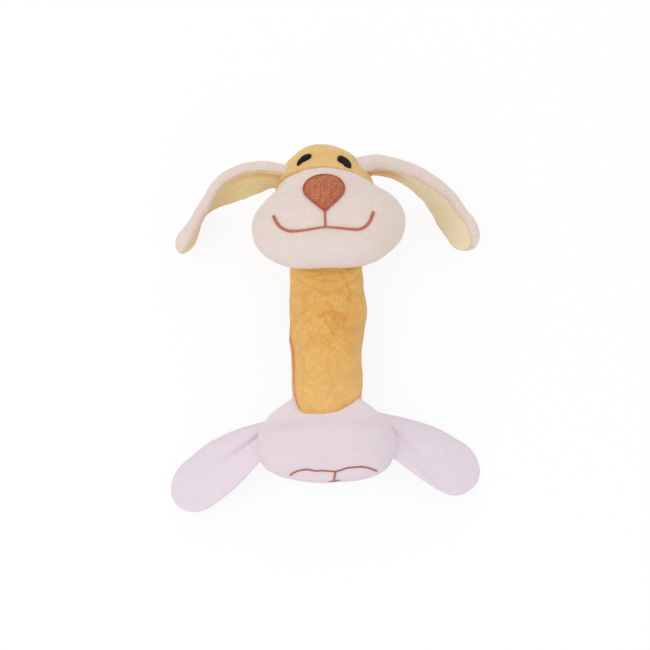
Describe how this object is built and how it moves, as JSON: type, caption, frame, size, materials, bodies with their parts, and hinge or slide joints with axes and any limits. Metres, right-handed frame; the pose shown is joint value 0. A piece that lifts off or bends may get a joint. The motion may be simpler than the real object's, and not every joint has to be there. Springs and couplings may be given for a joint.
{
  "type": "plush dog toy",
  "caption": "Stuffed plush dog toy with a lobed round head, drooping ears, a tube body that holds a squeaker, and a foot piece with padded leg flaps.",
  "frame": {"origin": "on the flat of the tube's back, halfway along the tube, where it lies on a table", "axes": "+Y runs from the feet to the head, +Z points out of the side that the face is on, and the toy's own left is +X"},
  "size_m": [0.1775, 0.2094, 0.0781],
  "materials": {
    "orange_plush": "short-pile plush, orange yellow",
    "crown_plush": "short-pile plush, orange yellow, paler",
    "pink_plush": "short-pile plush, pale pink",
    "lilac_plush": "short-pile plush, pale lilac pink",
    "cream_plush": "short-pile plush, pale yellow",
    "brown_thread": "satin-stitched embroidery thread, brown",
    "red_brown_thread": "satin-stitched embroidery thread, red brown",
    "black_thread": "satin-stitched embroidery thread, black",
    "fibre": "loose white polyester fibre",
    "soft_plastic": "soft, slightly see-through white",
    "hard_plastic": "hard white"
  },
  "bodies": {
    "body": {"body_sleeve": "orange_plush", "body_stuffing_upper": "fibre", "body_stuffing_lower": "fibre", "squeaker_bulb": "soft_plastic", "squeaker_holder": "hard_plastic", "squeaker_reed": "hard_plastic"},
    "head": {"head_crown": "crown_plush", "head_face": "pink_plush", "head_stuffing": "fibre", "nose": "brown_thread", "eye_left": "black_thread", "eye_right": "black_thread", "mouth_stitching": "red_brown_thread"},
    "ear_left": {"ear_left_outer": "pink_plush", "ear_left_lining": "cream_plush"},
    "ear_right": {"ear_right_outer": "pink_plush", "ear_right_lining": "cream_plush"},
    "foot": {"base_front": "lilac_plush", "base_back": "lilac_plush", "base_stuffing": "fibre", "paw_stitching": "brown_thread"},
    "leg_left": {"leg_left_front": "lilac_plush", "leg_left_back": "lilac_plush", "leg_left_wadding": "fibre"},
    "leg_right": {"leg_right_front": "lilac_plush", "leg_right_back": "lilac_plush", "leg_right_wadding": "fibre"}
  },
  "joints": [
    {"name": "head_nod", "type": "hinge", "parent": "body", "child": "head", "pos_m": [0, 0.056, 0.0201], "axis": [1, 0, 0], "range_deg": [-25, 8], "stiffness_Nm_per_rad": 0.6},
    {"name": "ear_left_flop", "type": "hinge", "parent": "head", "child": "ear_left", "pos_m": [0.0249, 0.0953, 0.0346], "axis": [-0.2322, -0.0711, 0.9701], "range_deg": [-30, 70]},
    {"name": "ear_right_flop", "type": "hinge", "parent": "head", "child": "ear_right", "pos_m": [-0.02925, 0.0894, 0.03495], "axis": [-0.3267, -0.23, -0.9167], "range_deg": [-30, 70]},
    {"name": "base_tilt", "type": "hinge", "parent": "body", "child": "foot", "pos_m": [0, -0.056, 0.0201], "axis": [1, 0, 0], "range_deg": [-15, 15], "stiffness_Nm_per_rad": 0.6},
    {"name": "leg_left_flop", "type": "hinge", "parent": "foot", "child": "leg_left", "pos_m": [0.0399, -0.0621, 0.0217], "axis": [0.2332, -0.9719, 0.0327], "range_deg": [-50, 95]},
    {"name": "leg_right_flop", "type": "hinge", "parent": "foot", "child": "leg_right", "pos_m": [-0.0402, -0.0653, 0.0218], "axis": [0.1039, 0.9918, -0.075], "range_deg": [-50, 95]}
  ]
}
